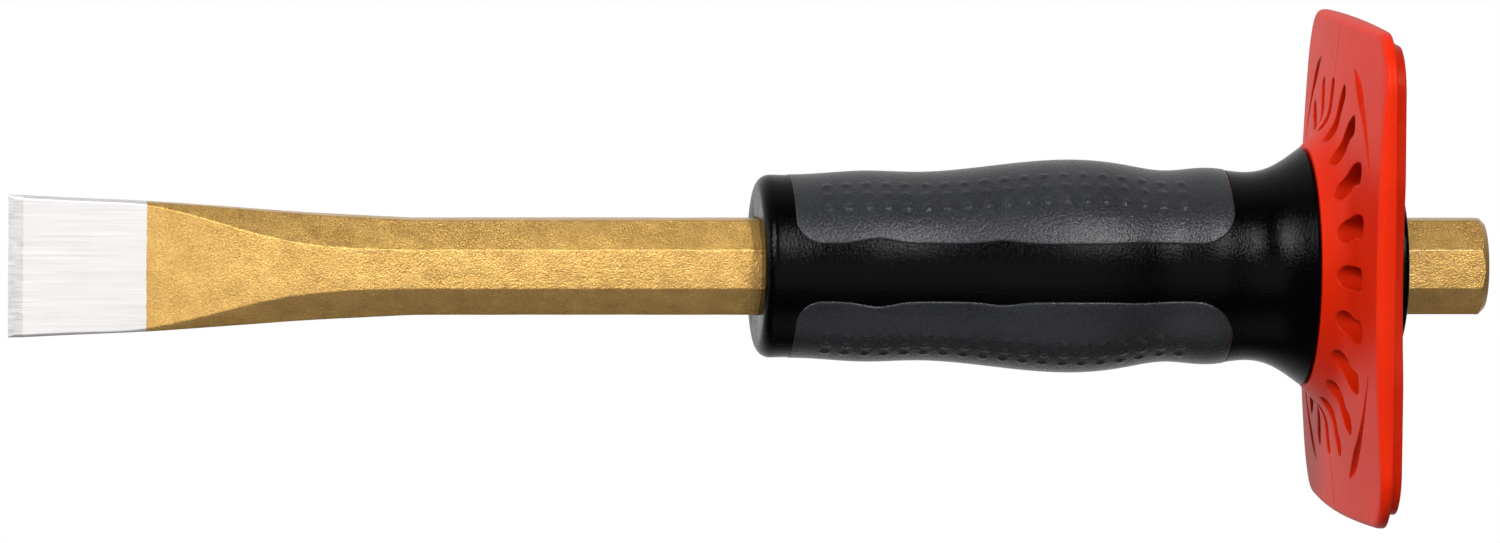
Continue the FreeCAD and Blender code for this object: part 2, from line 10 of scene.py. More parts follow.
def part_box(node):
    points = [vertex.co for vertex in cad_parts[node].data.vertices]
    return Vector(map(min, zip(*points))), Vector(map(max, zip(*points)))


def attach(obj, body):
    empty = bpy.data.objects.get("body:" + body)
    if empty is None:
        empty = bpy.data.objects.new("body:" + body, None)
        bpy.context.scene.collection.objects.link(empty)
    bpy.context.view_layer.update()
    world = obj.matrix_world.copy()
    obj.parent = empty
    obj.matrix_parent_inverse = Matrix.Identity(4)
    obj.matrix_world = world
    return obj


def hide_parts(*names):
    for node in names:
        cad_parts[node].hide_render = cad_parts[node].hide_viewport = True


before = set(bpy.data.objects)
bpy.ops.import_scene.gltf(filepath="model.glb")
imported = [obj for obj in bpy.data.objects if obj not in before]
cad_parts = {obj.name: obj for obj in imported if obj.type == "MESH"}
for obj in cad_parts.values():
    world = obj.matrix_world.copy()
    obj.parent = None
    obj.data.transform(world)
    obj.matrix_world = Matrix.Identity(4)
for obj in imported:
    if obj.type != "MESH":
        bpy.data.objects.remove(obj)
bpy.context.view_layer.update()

# Cold chisel with a slide-on hand guard: the looks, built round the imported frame.
#
# Shapes are worked out in millimetres and turned into metres when a mesh is made.
# X runs along the bar from the cutting edge to the striking head and Z is up.
# Angles round the bar start at the near side (-Y) and rise towards +Z.

MM = 0.001

# A rounded edge's middle point lies this share of its radius in from both faces
ROUND_MIDDLE = 0.3


def node_box(node):
    """Lowest and highest corner of a CAD node, in millimetres."""
    low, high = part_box(node)
    return np.array(low) / MM, np.array(high) / MM


BAR_LOW, BAR_HIGH = node_box("chisel_bar")
SLEEVE_LOW, SLEEVE_HIGH = node_box("grip_sleeve")
PAD_HIGH = node_box("grip_pad_upper")[1]
SHIELD_LOW, SHIELD_HIGH = node_box("guard_shield")
COLLAR_LOW, COLLAR_HIGH = node_box("rear_collar")

# Bar: an octagonal shank whose blade has sections at distances from the cutting edge
TIP = BAR_LOW[0]
HEAD = BAR_HIGH[0]
HALF_FLATS = BAR_HIGH[1]
BLADE_STATION = (0.0, 12.0, 23.0, 31.0, 40.0, 48.0, 57.0, 68.0)
BLADE_WIDTH = (12.0, 11.38, 10.87, 10.36, 9.7, 9.08, 8.55, HALF_FLATS)
BLADE_THICKNESS = (1.35, 1.85, 2.35, 3.7, 5.8, 7.3, 7.92, HALF_FLATS)
BLADE_CORNER = (0.4, 0.4, 0.5, 1.65, 3.5, 4.6, 4.95, HALF_FLATS * (1 - math.tan(math.pi / 8)))
GROUND_LENGTH = 23.0
BEVEL_TANGENT = math.tan(math.radians(29.0))
EDGE_LAND = 0.15
HEAD_FACE = 7.2
HEAD_ROUND = 0.25
HEAD_CROWN = 0.06
HEAD_SECTIONS = 9.0
CORNER_ROUND = 0.5
CORNER_LIMIT = 0.7
CROWN_SHARE = 0.008
CROWN_WIDTH = 7.0

# Forging: lengths and heights, and scales as repeats per millimetre along and across the bar
FORGE_FADE = 12.0
HEAD_FADE = 3.0
FORGE_SINK = 0.03
SWELL_HEIGHT = 0.035
SWELL_SCALE = (0.09, 0.16)
DENT_HEIGHT = 0.016
DENT_SCALE = (0.33, 0.4)
DENT_SHIFT = 7

# How much a dent grows at each point of a rounded corner, beside it, on the cone and its rim
CORNER_MARKS = (0.75, 1.0, 1.0, 1.0, 0.75)
BESIDE_MARK = 0.35
CONE_MARK = 0.45
RIM_MARK = 0.3

# Along X: the lacquer's grain is low up to BLADE_SMOOTH and full from SHANK_ROUGH
BLADE_SMOOTH = TIP + 35.0
SHANK_ROUGH = TIP + 62.0

# Grip contour: distance from the grip's front and radius, from the nose to the flare's lip
NOSE_RADIUS = 2.3
LIP_RADIUS = 0.7
GRIP_FRONT = SLEEVE_LOW[0]
GRIP_LENGTH = SHIELD_LOW[0] - GRIP_FRONT
CONTOUR = (
    (NOSE_RADIUS, 15.4),
    (7.2, 15.37),
    (18.2, 16.0),
    (27.2, 15.8),
    (39.2, 16.75),
    (55.9, 17.8),
    (62.7, 17.0),
    (69.3, 16.05),
    (77.0, 16.5),
    (83.0, 15.9),
    (87.8, 16.9),
    (GRIP_LENGTH - LIP_RADIUS, 20.0),
)
SPIGOT_RADIUS = 11.5
SPIGOT_END = SLEEVE_HIGH[0]
SPIGOT_CHAMFER = 0.4
BORE_HALF_FLATS = HALF_FLATS + 0.05
BORE_ROUND = 0.3
BED_MARGIN = 2.4

# Pads: PAD_START and PAD_END are along X, other places are distances from the grip's front
PAD_START = GRIP_FRONT + 5.2
PAD_END = PAD_HIGH[0]
PAD_DEPTH = 1.8
PAD_EDGE = 4.8
PAD_FRONT_CORNER = 4.4
PAD_REAR_CORNER = {1: 6.0, -1: 7.2}
PAD_WAVES = ((18.8, 0.85), (39.8, 0.55), (63.2, 0.22))
PAD_WAVE_SPREAD = 3.6
PAD_ROLL = 0.4
PAD_PROUD = 0.1
NUB_FIRST = 10.9
NUB_PITCH = 3.34
NUB_COUNT = 19
NUB_TURN = 10.0
NUB_INNER = 27.0
NUB_ROWS = 3
NUB_RADIUS = 0.95
NUB_HEIGHT = 0.22
NUB_SHAPE = 1.4

# Guard shield
GUARD_HALF = SHIELD_HIGH[2]
SIDE_RADIUS = 1200.0
CORNER_RADIUS = 10.0
NECK_FACE = SHIELD_LOW[0]
NECK_RADIUS = 20.6
SHOULDER_RADIUS = 24.9
NECK_FILLET = 7.0
PLATE_FRONT = NECK_FACE + 5.8
PLATE_TANGENT = math.tan(math.radians(6.0))
LOBE_BACK = SHIELD_HIGH[0]
RIM_BACK = LOBE_BACK - 1.8
RECESS_FLOOR = LOBE_BACK - 2.4
RIM_ROUND = 1.2
LOBE_INSET = 2.3
SCALLOP_RADIUS = 78.0
SCALLOP_DEPTH = 1.8
RECESS_INNER = 20.5
RECESS_OUTER = 34.0
RECESS_DRAFT = 0.55
BACK_ROUND = 0.3
LOBE_BLEND = 0.6
SEAM_START = 33.2
SEAM_END = 40.4
SEAM_PROFILE = ((-0.3, 0.0), (-0.12, -0.05), (0.12, -0.05), (0.3, 0.0))
SEAM_CLEAR = 0.7
FINE_RINGS_END = 28.0
SLOT_COUNT = 20
SLOT_INNER = 22.6
SLOT_OUTER = 31.25
SLOT_LENGTHENING = 2.0
SLOT_LEAN = 4.3
SLOT_BOW = 1.1
SLOT_WIDTH = 3.9
SLOT_NARROWING = 0.7
SLOT_ROUND = 0.22
SLOT_TIP_SAG = 0.45
CRESCENT_RADIUS = 38.6
CRESCENT_START = 24.0
CRESCENT_SWEEP = 39.0
CRESCENT_TUBE = 1.6
CRESCENT_TIP = 0.15
CRESCENT_PEAK = 0.72
CRESCENT_RISE = 1.3
CRESCENT_LIP = 0.3

# Rear collar
COLLAR_HOLE = 9.0
COLLAR_LIP = 0.4
COLLAR_ROUND = 0.8

# Camera: angles in degrees, the rest in millimetres
CAMERA_LENS = 370.8
CAMERA_DISTANCE = 2600.0
CAMERA_TURN = 7.0
CAMERA_RISE = 4.4
CAMERA_ROLL = 0.53
CAMERA_ASIDE = 0.02
CAMERA_DROP = -0.92

# Soft boxes: name, azimuth and elevation in degrees, distance, width and height in metres, radiance
LIGHTS = (
    ("front", -5, -4, 1.0, 1.4, 0.8, 1.5),
    ("key", 20, 34, 1.1, 0.16, 0.4, 60.0),
    ("side", -46, 32, 1.1, 0.2, 0.4, 66.0),
    ("left", -104, 5, 1.0, 0.5, 0.6, 5.0),
    ("bounce", 0, -75, 0.9, 1.0, 0.6, 0.9),
)

# Light of the room: strength facing away from the backdrop and towards it
ROOM_FRONT = 0.03
ROOM_BACK = 1.0
BACKDROP_WAY = (0.0, 0.95, 0.31)
BACKDROP_FADE = 0.7

# Floor: half its side in metres, and its distance under the object in millimetres
FLOOR_REACH = 8.0
FLOOR_GAP = 0.05


# ---- mesh helpers


def spline(places, values):
    """Natural cubic spline through the values, as a function."""
    x = np.array(places, float)
    y = np.array(values, float)
    gap = np.diff(x)
    slope = np.diff(y) / gap
    count = len(x)
    matrix = np.eye(count)
    right = np.zeros(count)
    for i in range(1, count - 1):
        matrix[i, i - 1] = gap[i - 1]
        matrix[i, i] = 2 * (gap[i - 1] + gap[i])
        matrix[i, i + 1] = gap[i]
        right[i] = 6 * (slope[i] - slope[i - 1])
    bend = np.linalg.solve(matrix, right)

    def value(where):
        where = np.asarray(where, float)
        i = np.clip(np.searchsorted(x, where) - 1, 0, count - 2)
        left = x[i + 1] - where
        right_part = where - x[i]
        cubic = (bend[i] * left**3 + bend[i + 1] * right_part**3) / (6 * gap[i])
        start = (y[i] / gap[i] - bend[i] * gap[i] / 6) * left
        end = (y[i + 1] / gap[i] - bend[i + 1] * gap[i] / 6) * right_part
        return cubic + start + end

    return value


def round_the_bar(along, radius, degrees):
    """Points at places along X, radii and angles in degrees; the arrays fit each other."""
    turn = np.radians(degrees)
    along, radius, turn = np.broadcast_arrays(along, radius, turn)
    return np.stack([along, -radius * np.cos(turn), radius * np.sin(turn)], axis=-1)


def lift_to(along, places):
    """Points in space from plane places (towards -Y, up) and their X."""
    return np.stack([np.broadcast_to(along, places.shape), -places.real, places.imag], -1)


def full_turn(count):
    """Angles in degrees of points spread evenly round the axis."""
    return 360.0 * np.arange(count) / count


def grid_faces(rows, columns, first=0, ring=False):
    """Quads of a grid of points that are numbered row by row."""
    across = columns if ring else columns - 1
    i, j = np.meshgrid(np.arange(rows - 1), np.arange(across), indexing="ij")
    after = (j + 1) % columns
    corners = [i * columns + j, i * columns + after, (i + 1) * columns + after, (i + 1) * columns + j]
    return np.stack(corners, axis=-1).reshape(-1, 4) + first


def rolled(distance, radius):
    """How far a rounded edge lies under the flat, at a distance from its outline."""
    inside = np.clip(radius - np.asarray(distance, float), 0, radius)
    return radius - np.sqrt(np.maximum(radius**2 - inside**2, 0))


def new_object(name, data):
    """Object in the scene for a mesh, a light or a camera."""
    made = bpy.data.objects.new(name, data)
    bpy.context.scene.collection.objects.link(made)
    return made


def make_piece(name, points, faces, material, body, node, crease):
    """Smooth-shaded closed mesh that stands for one CAD node."""
    mesh = bpy.data.meshes.new(name)
    mesh.from_pydata((np.asarray(points) * MM).tolist(), [], [list(map(int, f)) for f in faces])
    shape = bmesh.new()
    shape.from_mesh(mesh)
    bmesh.ops.remove_doubles(shape, verts=shape.verts, dist=0.0002 * MM)
    bmesh.ops.dissolve_degenerate(shape, edges=shape.edges, dist=0.0002 * MM)
    loose = [v for v in shape.verts if not v.link_faces]
    bmesh.ops.delete(shape, geom=loose, context="VERTS")
    bmesh.ops.recalc_face_normals(shape, faces=shape.faces)
    shape.to_mesh(mesh)
    shape.free()
    mesh.validate()
    mesh.shade_smooth()
    mesh.set_sharp_from_angle(angle=math.radians(crease))
    mesh.materials.append(material)
    made = new_object(name, mesh)
    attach(made, body)
    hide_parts(node)
    return made


# ---- chisel bar

blade_width = spline(BLADE_STATION, BLADE_WIDTH)
blade_thickness = spline(BLADE_STATION, BLADE_THICKNESS)
blade_corner = spline(BLADE_STATION, BLADE_CORNER)


def bar_section(station):
    """Half width, half thickness and corner cut of the bar at a distance from its edge."""
    if station >= BLADE_STATION[-1]:
        return HALF_FLATS, HALF_FLATS, BLADE_CORNER[-1]
    width = float(blade_width(station))
    bevel = EDGE_LAND + station * BEVEL_TANGENT
    thickness = min(float(blade_thickness(station)), bevel, HALF_FLATS)
    corner = min(float(blade_corner(station)), thickness * CORNER_LIMIT)
    return width, thickness, corner


def section_points(station):
    """Rounded eight-sided section as complex numbers (towards -Y, up), and its edge marks."""
    width, thickness, cut = bar_section(station)
    corners = []
    for sign_up, sign_near in ((1, 1), (1, -1), (-1, -1), (-1, 1)):
        flank = complex(sign_near * thickness, sign_up * (width - cut))
        crown = complex(sign_near * (thickness - cut), sign_up * width)
        corners += [flank, crown] if sign_up == sign_near else [crown, flank]
    radius = min(CORNER_ROUND, 0.8 * cut)
    reach = radius * math.tan(math.pi / 8)
    shares = np.linspace(0, 1, len(CORNER_MARKS))
    arcs = []
    for i, corner in enumerate(corners):
        before = corners[i - 1] - corner
        after = corners[(i + 1) % 8] - corner
        start = corner + before / abs(before) * reach
        end = corner + after / abs(after) * reach
        inward = before / abs(before) + after / abs(after)
        centre = corner + inward / abs(inward) * radius / math.cos(math.pi / 8)
        begin = math.atan2((start - centre).imag, (start - centre).real)
        turn = math.remainder(math.atan2((end - centre).imag, (end - centre).real) - begin, math.tau)
        arcs.append([centre + radius * cmath.exp(1j * (begin + turn * share)) for share in shares])
    points = []
    marks = []
    for i, arc in enumerate(arcs):
        points += arc
        marks += CORNER_MARKS
        start = arc[-1]
        side = arcs[(i + 1) % 8][0] - start
        length = abs(side)
        support = min(0.16 / length, 0.08)
        outward = -1j * side / length
        crown_height = CROWN_SHARE * min(length, CROWN_WIDTH) * min(1.0, station / GROUND_LENGTH)
        for share in (support, 0.14, 0.28, 0.42, 0.58, 0.72, 0.86, 1 - support):
            rise = crown_height * 4 * share * (1 - share)
            points.append(start + side * share + outward * rise)
            marks.append(BESIDE_MARK if share in (support, 1 - support) else 0.0)
    return np.array(points), marks


def bar_stations():
    """Places of the bar's sections before the head, as distances from the cutting edge."""
    bevel_end = 0.0
    while EDGE_LAND + bevel_end * BEVEL_TANGENT < float(blade_thickness(bevel_end)):
        bevel_end += 0.005
    places = list(np.linspace(0, bevel_end - 0.08, 6)) + [bevel_end, bevel_end + 0.08]
    places += list(np.arange(3.0, BLADE_STATION[-1], 0.7))
    places += list(np.arange(BLADE_STATION[-1], HEAD - TIP - HEAD_SECTIONS - 1.0, 1.6))
    return places


def make_bar(material):
    """The forged bar, with softened corners, crowned flats and a coned striking head."""
    rows = []
    marks = []
    for station in bar_stations():
        section, mark = section_points(station)
        rows.append(lift_to(TIP + station, section))
        marks.append(mark)
    section, mark = section_points(BLADE_STATION[-1])
    columns = len(mark)
    reach = np.abs(section)
    unit = section / reach
    cone_start = HEAD - (reach - HEAD_FACE)
    body_end = HEAD - HEAD_SECTIONS
    for share in (0.0, 0.2, 0.4, 0.6, 0.75, 0.88, 0.96, 0.99, 1.0):
        rows.append(lift_to(body_end + (cone_start - body_end) * share, section))
        marks.append(np.array(mark) * (1 - 0.3 * share))
    for share in (0.02, 0.1, 0.3, 0.55, 0.8, 0.93, 1.0):
        radius = reach + (HEAD_FACE + HEAD_ROUND / 2 - reach) * share
        rows.append(lift_to(HEAD - (radius - HEAD_FACE), radius * unit))
        marks.append([CONE_MARK] * columns)
    for lean in np.radians([20, 45, 70, 90]):
        radius = HEAD_FACE - HEAD_ROUND * (1 - math.cos(lean))
        along = HEAD - HEAD_CROWN - HEAD_ROUND * (1 - math.sin(lean))
        rows.append(lift_to(along, radius * unit))
        marks.append([RIM_MARK] * columns)
    for share in (0.9, 0.75, 0.6, 0.45, 0.3, 0.15, 0.0):
        radius = (HEAD_FACE - HEAD_ROUND) * share
        rows.append(lift_to(HEAD - HEAD_CROWN * share * share, radius * unit))
        marks.append([0.0] * columns)
    points = forge(np.concatenate(rows), np.concatenate(marks))
    faces = grid_faces(len(rows), columns, ring=True).tolist()
    faces.append(list(range(columns))[::-1])
    made = make_piece("bar", points, faces, material, "chisel", "chisel_bar", 20.0)
    mark_edges(made)


def forge(points, marks):
    """Shallow unevenness of a forging, which fades out on the ground blade and the head."""
    station = points[:, 0] - TIP
    strength = np.clip((station - GROUND_LENGTH) / FORGE_FADE, 0, 1)
    strength = strength * np.clip((HEAD - points[:, 0]) / HEAD_FADE, 0, 1)
    moved = points.copy()
    for i in np.nonzero(strength > 0)[0]:
        x, y, z = points[i]
        reach = math.hypot(y, z)
        along, across = SWELL_SCALE
        swell = noise.noise(Vector((x * along, y * across, z * across)))
        along, across = DENT_SCALE
        dent = noise.noise(Vector((x * along + DENT_SHIFT, y * across, z * across)))
        rise = SWELL_HEIGHT * swell + DENT_HEIGHT * dent * (1 + marks[i])
        shift = strength[i] * rise - FORGE_SINK * strength[i]
        moved[i, 1] += y / reach * shift
        moved[i, 2] += z / reach * shift
    return moved


def mark_edges(bar):
    """Attribute that is 1 on the bar's corners and 0 on its flats; the lacquer material uses it to paint
    shade along the corners.
    """
    mesh = bar.data
    turns = np.zeros(len(mesh.vertices))
    attribute = mesh.attributes.new("edge", "FLOAT", "POINT")
    normals = np.array([v.normal for v in mesh.vertices])
    places = np.array([v.co for v in mesh.vertices]) / MM
    longest = 1.2
    full_bend = 0.012
    for a, b in mesh.edge_keys:
        gap = places[a] - places[b]
        length = math.sqrt(gap @ gap)
        if length > longest or abs(gap[0]) > length / 2:
            continue
        bend = 1 - float(normals[a] @ normals[b])
        for v in (a, b):
            turns[v] = max(turns[v], bend / full_bend)
    attribute.data.foreach_set("value", np.clip(turns, 0, 1).astype(np.float32))


# ---- grip

grip_radius = spline([GRIP_FRONT + place for place, _ in CONTOUR], [r for _, r in CONTOUR])


def pad_edge_height(along, sign):
    """Height of a pad's outline over the bar's axis, its rounded corners included."""
    nose = PAD_FRONT_CORNER
    tail = PAD_REAR_CORNER[sign]
    along = np.clip(along, PAD_START, PAD_END)
    straight = np.clip(along, PAD_START + nose, PAD_END - tail)
    height = np.full(np.shape(along), PAD_EDGE)
    for place, lift in PAD_WAVES:
        height = height + lift * np.exp(-(((straight - GRIP_FRONT - place) / PAD_WAVE_SPREAD) ** 2))
    front = np.clip(PAD_START + nose - along, 0, nose)
    rear = np.clip(along - (PAD_END - tail), 0, tail)
    height = height + nose - np.sqrt(np.maximum(nose**2 - front**2, 0))
    return height + tail - np.sqrt(np.maximum(tail**2 - rear**2, 0))


def pad_edge_angle(along, sign):
    """Angle of a pad's long edge round the bar, in degrees."""
    held = np.clip(along, PAD_START, PAD_END)
    return np.degrees(np.arcsin(pad_edge_height(held, sign) / grip_radius(held)))


def on_grip(along, degrees, drop):
    """Point of the grip set in by drop."""
    radius = grip_radius(np.maximum(along, GRIP_FRONT + NOSE_RADIUS))
    return round_the_bar(along, radius - drop, degrees)


def sleeve_columns(along):
    """Angles of the sleeve's columns at a place, and which of them cross a pad's bed."""
    up = float(pad_edge_angle(along, 1))
    down = float(pad_edge_angle(along, -1))
    window = np.concatenate([[0.012], np.linspace(0.04, 0.96, 25), [0.988, 1]])
    plain = np.full(len(window), False)
    bed = np.concatenate([[0], np.linspace(0, 1, 61)])
    in_bed = np.arange(len(bed)) > 0
    bands = (
        (-down, up, window, plain),
        (up, 180 - up, bed, in_bed),
        (180 - up, 180 + down, window, plain),
        (180 + down, 360 - down, bed, in_bed),
    )
    angles = [start + (end - start) * shares for start, end, shares, _ in bands]
    return np.concatenate(angles), np.concatenate([flags for *_, flags in bands])


def octagon_reach(degrees, half_flats):
    """Distance from the axis to an octagon with its flats on the axes."""
    off = (np.asarray(degrees) + 22.5) % 45.0 - 22.5
    return half_flats / np.cos(np.radians(off))


def make_sleeve(material):
    """Hard core of the grip: beaded nose, waisted contour, pad beds, flare, tube and bore."""
    rows = []
    nose_x = GRIP_FRONT + NOSE_RADIUS
    lip_x = GRIP_FRONT + GRIP_LENGTH - LIP_RADIUS
    front_angles = sleeve_columns(PAD_START)[0]
    rear_angles = sleeve_columns(PAD_END)[0]
    count = len(front_angles)
    even = full_turn(count) - 22.5

    bore = octagon_reach(even, BORE_HALF_FLATS)
    middle = BORE_ROUND * ROUND_MIDDLE
    rows.append(round_the_bar(GRIP_FRONT + BORE_ROUND, bore, even))
    rows.append(round_the_bar(GRIP_FRONT + middle, bore + middle, even))
    rows.append(round_the_bar(GRIP_FRONT, bore + BORE_ROUND, even))
    face = float(grip_radius(nose_x)) - NOSE_RADIUS
    rows.append(round_the_bar(GRIP_FRONT, face - 0.35, front_angles))
    for lean in np.radians(np.linspace(0, 90, 13)):
        along = nose_x - NOSE_RADIUS * math.cos(lean)
        rows.append(round_the_bar(along, face + NOSE_RADIUS * math.sin(lean), front_angles))
    rows += [on_grip(along, front_angles, 0.0) for along in np.linspace(nose_x, PAD_START, 9)[1:]]
    bed_places = [0, 0.03, 0.1, 0.2, 0.35, 0.6, 0.9, 1.3, 1.8]
    inner = np.linspace(PAD_START + BED_MARGIN, PAD_END - BED_MARGIN, 118)
    places = [PAD_START + p for p in bed_places] + list(inner) + [PAD_END - p for p in bed_places[::-1]]
    for along in places:
        angles, in_bed = sleeve_columns(along)
        rows.append(on_grip(along, angles, np.where(in_bed, PAD_DEPTH, 0.0)))
    rows += [on_grip(along, rear_angles, 0.0) for along in np.linspace(PAD_END, lip_x, 34)]
    lip = SLEEVE_HIGH[2]
    for lean in np.radians([10, 25, 40, 55, 70, 80, 90]):
        along = lip_x + LIP_RADIUS * math.sin(lean)
        rows.append(round_the_bar(along, lip - LIP_RADIUS * (1 - math.cos(lean)), rear_angles))
    rear_face = lip_x + LIP_RADIUS
    tube = (
        (rear_face, SPIGOT_RADIUS + 0.3),
        (rear_face, SPIGOT_RADIUS),
        (SPIGOT_END - SPIGOT_CHAMFER, SPIGOT_RADIUS),
        (SPIGOT_END, SPIGOT_RADIUS - SPIGOT_CHAMFER),
        (SPIGOT_END, bore + BORE_ROUND),
        (SPIGOT_END - BORE_ROUND, bore),
    )
    rows += [round_the_bar(along, radius, even) for along, radius in tube]
    points = np.concatenate(rows)
    faces = grid_faces(len(rows) + 1, count, ring=True) % len(points)
    make_piece("sleeve", points, faces, material, "hand_guard", "grip_sleeve", 32.0)


def pad_grid(sign):
    """Places along X, and a pad's column angles at each place."""
    fine = [0, 0.03, 0.08, 0.16, 0.28, 0.45, 0.7, 1.0]
    step = NUB_PITCH / 12
    first_nub = GRIP_FRONT + NUB_FIRST
    regular = first_nub + step * np.arange(-60, 320)
    inner = regular[(regular > PAD_START + 1.15) & (regular < PAD_END - 1.15)]
    places = np.concatenate([PAD_START + np.array(fine), inner, PAD_END - np.array(fine[::-1])])
    edge = pad_edge_angle(places, sign)
    per_degree = grip_radius(places) * math.pi / 180
    outer = [edge + distance / per_degree for distance in fine]
    upright = 50.0
    for share in np.arange(1, 31) / 30:
        outer.append(outer[7] + (upright - outer[7]) * share)
    crown = [np.full(len(places), angle) for angle in np.arange(upright + 1, 91)]
    half = np.stack(outer + crown, axis=1)
    angles = np.concatenate([half, 180 - half[:, -2::-1]], axis=1)
    return places, angles


def outline_distance(places, angles, sign):
    """Distance along the surface from grid points to the pad's outline."""
    nose = PAD_FRONT_CORNER
    tail = PAD_REAR_CORNER[sign]
    folded = np.minimum(angles, 180 - angles)
    radius = grip_radius(places)[:, None]
    edge = pad_edge_angle(places, sign)[:, None]
    along = places[:, None]
    to_side = radius * np.radians(folded - edge)
    to_end = np.minimum(along - PAD_START, PAD_END - along)
    up = radius * np.radians(folded)
    distance = np.minimum(to_side, to_end)
    for corner, centre in ((nose, PAD_START + nose), (tail, PAD_END - tail)):
        level = radius * np.radians(pad_edge_angle(np.array([centre]), sign)[0]) + corner
        out = (along - centre) * (1 if centre > (PAD_START + PAD_END) / 2 else -1)
        down = level - up
        in_corner = (out > 0) & (down > 0)
        distance = np.where(in_corner, np.minimum(distance, corner - np.hypot(out, down)), distance)
    return np.maximum(distance, 0)


def nub_height(places, angles):
    """Height of the raised nubs over a pad."""
    along = places[:, None]
    column = np.clip(np.round((along - GRIP_FRONT - NUB_FIRST) / NUB_PITCH), 0, NUB_COUNT - 1)
    turned = np.abs(angles - 90) - NUB_INNER
    row = np.clip(np.round(turned / NUB_TURN), 0, NUB_ROWS - 1)
    to_side = grip_radius(places)[:, None] * np.radians(turned - row * NUB_TURN)
    to_end = along - GRIP_FRONT - NUB_FIRST - column * NUB_PITCH
    share = np.hypot(to_side, to_end) / NUB_RADIUS
    return NUB_HEIGHT * np.maximum(1 - share**2, 0) ** NUB_SHAPE


def make_pad(name, node, sign, material):
    """One soft inlay: wraps over the grip, with a rolled edge and rows of nubs."""
    places, angles = pad_grid(sign)
    distance = outline_distance(places, angles, sign)
    drop = rolled(distance, PAD_ROLL) - PAD_PROUD - nub_height(places, angles)
    along = places[:, None]
    top = on_grip(along, sign * angles, drop)
    base = on_grip(along, sign * angles, np.full(angles.shape, PAD_DEPTH - 0.03))
    rows, columns = angles.shape
    points = np.concatenate([top.reshape(-1, 3), base.reshape(-1, 3)])
    size = rows * columns
    faces = [grid_faces(rows, columns), grid_faces(rows, columns, first=size)[:, ::-1]]
    grid = np.arange(size).reshape(rows, columns)
    ring = np.concatenate([grid[0], grid[1:, -1], grid[-1, -2::-1], grid[-2:0:-1, 0]])
    after = np.roll(ring, -1)
    faces.append(np.stack([ring, ring + size, after + size, after], -1))
    make_piece(name, points, np.concatenate(faces), material,
               "hand_guard", node, 50.0)


# ---- guard shield


def front_height(radius):
    """Place along X of the shield's front at a radius: neck cone, blend and sloping plate."""
    radius = np.asarray(radius, float)
    shoulder_x = PLATE_FRONT - (GUARD_HALF - SHOULDER_RADIUS) * PLATE_TANGENT
    cone_turn = math.atan2(shoulder_x - NECK_FACE, SHOULDER_RADIUS - NECK_RADIUS)
    plate_turn = math.atan(PLATE_TANGENT)
    half_turn = (cone_turn - plate_turn) / 2
    reach = NECK_FILLET * math.tan(half_turn)
    start = SHOULDER_RADIUS - reach * math.cos(cone_turn)
    end = SHOULDER_RADIUS + reach * math.cos(plate_turn)
    centre_r = start + NECK_FILLET * math.sin(cone_turn)
    centre_x = shoulder_x - reach * math.sin(cone_turn) - NECK_FILLET * math.cos(cone_turn)
    cone = NECK_FACE + (radius - NECK_RADIUS) * math.tan(cone_turn)
    plate = PLATE_FRONT - (GUARD_HALF - radius) * PLATE_TANGENT
    blend = centre_x + np.sqrt(np.maximum(NECK_FILLET**2 - (radius - centre_r) ** 2, 0))
    return np.where(radius < start, cone, np.where(radius < end, blend, plate))


def outline_reach(degrees, inset):
    """Distance from the axis to the rounded square with bowed sides, set in by inset."""
    off = np.radians((np.asarray(degrees, float) + 45) % 90 - 45)
    offset = SIDE_RADIUS - GUARD_HALF
    reach = SIDE_RADIUS - CORNER_RADIUS
    inner = (math.sqrt(2 * reach**2 - offset**2) - offset) / 2
    side = SIDE_RADIUS - inset
    corner = CORNER_RADIUS - inset
    swing = math.atan2(inner, inner + offset)
    joint = math.atan2(inner + corner * math.sin(swing), inner + corner * math.cos(swing))
    turn = np.abs(off)
    bowed = -offset * np.cos(turn) + np.sqrt(side**2 - (offset * np.sin(turn)) ** 2)
    lean = inner * (np.cos(turn) - np.sin(turn))
    bent = inner * (np.cos(turn) + np.sin(turn)) + np.sqrt(np.maximum(corner**2 - lean**2, 0))
    return np.where(turn < joint, bowed, bent)


def lobe_reach(degrees):
    """Distance from the axis to the back layer's outline, pinched between its lobes."""
    off = np.radians((np.asarray(degrees, float) + 45) % 90 - 45)
    centre = GUARD_HALF - LOBE_INSET - SCALLOP_DEPTH + SCALLOP_RADIUS
    under = SCALLOP_RADIUS**2 - (centre * np.sin(off)) ** 2
    pinched = np.where(under > 0, centre * np.cos(off) - np.sqrt(np.maximum(under, 0)), 1e3)
    full = outline_reach(degrees, LOBE_INSET)
    blend = np.clip(0.5 + 0.5 * (full - pinched) / LOBE_BLEND, 0, 1)
    return full * (1 - blend) + pinched * blend - LOBE_BLEND * blend * (1 - blend)


def spin(degrees):
    """Unit complex number at an angle."""
    return np.exp(1j * np.radians(degrees))


